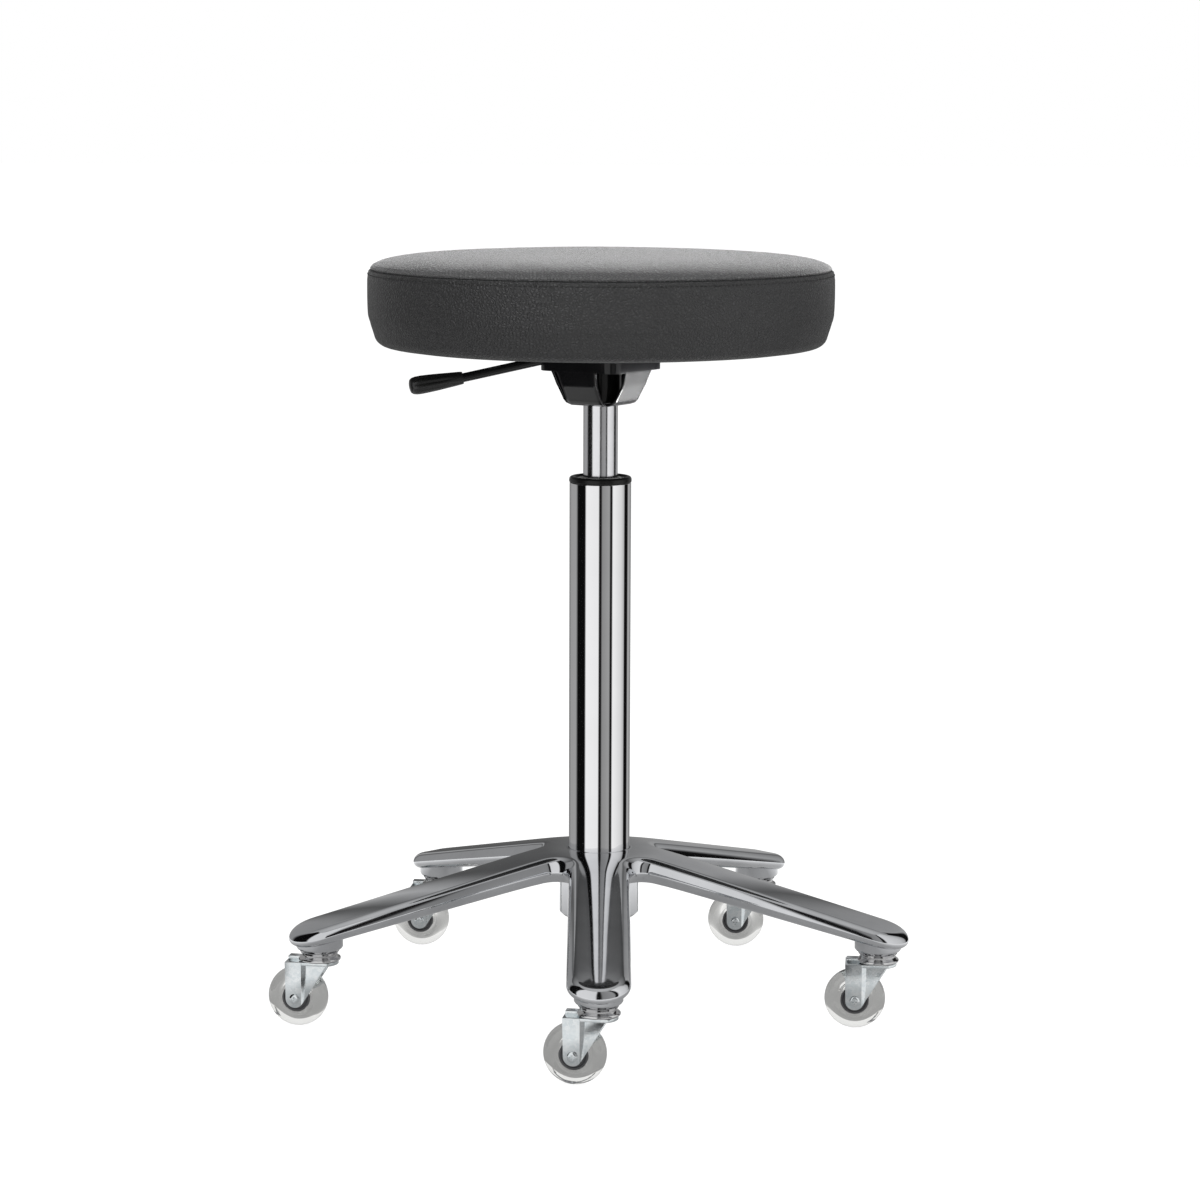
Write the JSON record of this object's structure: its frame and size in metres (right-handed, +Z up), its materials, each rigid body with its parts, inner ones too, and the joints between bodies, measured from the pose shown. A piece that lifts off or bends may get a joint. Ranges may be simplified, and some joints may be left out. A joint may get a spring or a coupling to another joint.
{
  "type": "adjustable swivel stool",
  "caption": "Round padded swivel stool on a chromed gas-lift column with a height lever and a polished star base on clear-tyred castors.",
  "frame": {"origin": "on the floor under the column's axis, at the centre of the circle of castor pivots", "axes": "+Z up along the column; -Y towards the front leg of the base; the height lever leaves the seat towards -X"},
  "size_m": [0.5169, 0.4771, 0.6188],
  "materials": {
    "polished_aluminium": "polished casting, lightly brushed on the top faces",
    "chrome": "bright chrome plate",
    "chrome_piston": "ground and chromed, satin bright",
    "steel": "turned bright steel",
    "zinc": "bluish white zinc plate",
    "black_steel": "gloss black coated pressed steel",
    "black_plastic": "semi gloss black moulding",
    "grip_plastic": "gloss black moulding with shallow flutes",
    "grey_plastic": "grey moulded ring",
    "bearing_grey": "dark grey moulding",
    "clear_tyre": "clear polyurethane",
    "leather_side": "black upholstery leather, fine grain, satin",
    "leather_top": "black upholstery leather, fine grain, satin",
    "foam": "open cell foam",
    "plywood": "plain plywood",
    "black_cloth": "non-woven cloth"
  },
  "bodies": {
    "base": {"star_base": "polished_aluminium", "column_tube": "chrome", "column_collar": "black_plastic", "wiper_ring": "grey_plastic", "guide_sleeve": "black_plastic", "bearing_lower_race": "steel", "castor_stem_1": "steel", "castor_stem_2": "steel", "castor_stem_3": "steel", "castor_stem_4": "steel", "castor_stem_5": "steel"},
    "rod": {"piston_rod": "steel", "piston_head": "bearing_grey", "bearing_balls": "steel", "bearing_upper_race": "steel", "rod_clip": "steel"},
    "seat": {"gas_cylinder": "chrome_piston", "rod_guide": "bearing_grey", "cone_socket": "black_steel", "mechanism_housing": "black_steel", "mounting_plate": "black_steel", "mounting_screw_1": "zinc", "mounting_screw_2": "zinc", "mounting_screw_3": "zinc", "mounting_screw_4": "zinc", "lever_pin": "zinc", "seat_board": "plywood", "seat_foam": "foam", "cover_side": "leather_side", "cover_top": "leather_top", "dust_cover": "black_cloth"},
    "lever": {"lever_rod": "black_steel", "lever_grip": "grip_plastic"},
    "valve": {"valve_pin": "steel"},
    "castor_1": {"castor_race_1": "steel", "castor_fork_1": "zinc", "castor_axle_1": "zinc"},
    "wheel_1": {"castor_hub_1": "bearing_grey", "castor_tyre_1": "clear_tyre"},
    "castor_2": {"castor_race_2": "steel", "castor_fork_2": "zinc", "castor_axle_2": "zinc"},
    "wheel_2": {"castor_hub_2": "bearing_grey", "castor_tyre_2": "clear_tyre"},
    "castor_3": {"castor_race_3": "steel", "castor_fork_3": "zinc", "castor_axle_3": "zinc"},
    "wheel_3": {"castor_hub_3": "bearing_grey", "castor_tyre_3": "clear_tyre"},
    "castor_4": {"castor_race_4": "steel", "castor_fork_4": "zinc", "castor_axle_4": "zinc"},
    "wheel_4": {"castor_hub_4": "bearing_grey", "castor_tyre_4": "clear_tyre"},
    "castor_5": {"castor_race_5": "steel", "castor_fork_5": "zinc", "castor_axle_5": "zinc"},
    "wheel_5": {"castor_hub_5": "bearing_grey", "castor_tyre_5": "clear_tyre"}
  },
  "joints": [
    {"name": "seat_swivel", "type": "hinge", "parent": "base", "child": "rod", "pos_m": [0, 0, 0.0916], "axis": [0, 0, 1], "continuous": true},
    {"name": "seat_height", "type": "slide", "parent": "rod", "child": "seat", "axis": [0, 0, 1], "range_m": [-0.045, 0.155]},
    {"name": "lever_lift", "type": "hinge", "parent": "seat", "child": "lever", "pos_m": [-0.0294, -0.00598, 0.5362], "axis": [-0.1994, 0.9799, 0], "range_deg": [0, 6], "stiffness_Nm_per_rad": 2},
    {"name": "valve_press", "type": "slide", "parent": "seat", "child": "valve", "axis": [0, 0, -1], "range_m": [0, 0.004]},
    {"name": "castor_1_swivel", "type": "hinge", "parent": "base", "child": "castor_1", "pos_m": [0, -0.2364, 0.0546], "axis": [0, 0, 1], "continuous": true},
    {"name": "wheel_1_spin", "type": "hinge", "parent": "castor_1", "child": "wheel_1", "pos_m": [-0.01778, -0.23358, 0.0245], "axis": [0.1564, 0.9877, 0], "continuous": true},
    {"name": "castor_2_swivel", "type": "hinge", "parent": "base", "child": "castor_2", "pos_m": [0.22483, -0.07305, 0.0546], "axis": [0, 0, 1], "continuous": true},
    {"name": "wheel_2_spin", "type": "hinge", "parent": "castor_2", "child": "wheel_2", "pos_m": [0.2069, -0.07148, 0.0245], "axis": [0.0872, 0.9962, 0], "continuous": true},
    {"name": "castor_3_swivel", "type": "hinge", "parent": "base", "child": "castor_3", "pos_m": [0.13895, 0.19125, 0.0546], "axis": [0, 0, 1], "continuous": true},
    {"name": "wheel_3_spin", "type": "hinge", "parent": "castor_3", "child": "wheel_3", "pos_m": [0.12101, 0.19266, 0.0245], "axis": [0.0785, 0.9969, 0], "continuous": true},
    {"name": "castor_4_swivel", "type": "hinge", "parent": "base", "child": "castor_4", "pos_m": [-0.13895, 0.19125, 0.0546], "axis": [0, 0, 1], "continuous": true},
    {"name": "wheel_4_spin", "type": "hinge", "parent": "castor_4", "child": "wheel_4", "pos_m": [-0.15685, 0.19313, 0.0245], "axis": [0.1045, 0.9945, 0], "continuous": true},
    {"name": "castor_5_swivel", "type": "hinge", "parent": "base", "child": "castor_5", "pos_m": [-0.22483, -0.07305, 0.0546], "axis": [0, 0, 1], "continuous": true},
    {"name": "wheel_5_spin", "type": "hinge", "parent": "castor_5", "child": "wheel_5", "pos_m": [-0.24256, -0.06993, 0.0245], "axis": [0.1736, 0.9848, 0], "continuous": true}
  ],
  "couplings": [
    {"joint": "valve_press", "follows": "lever_lift", "m_per_rad": 0.033}
  ]
}
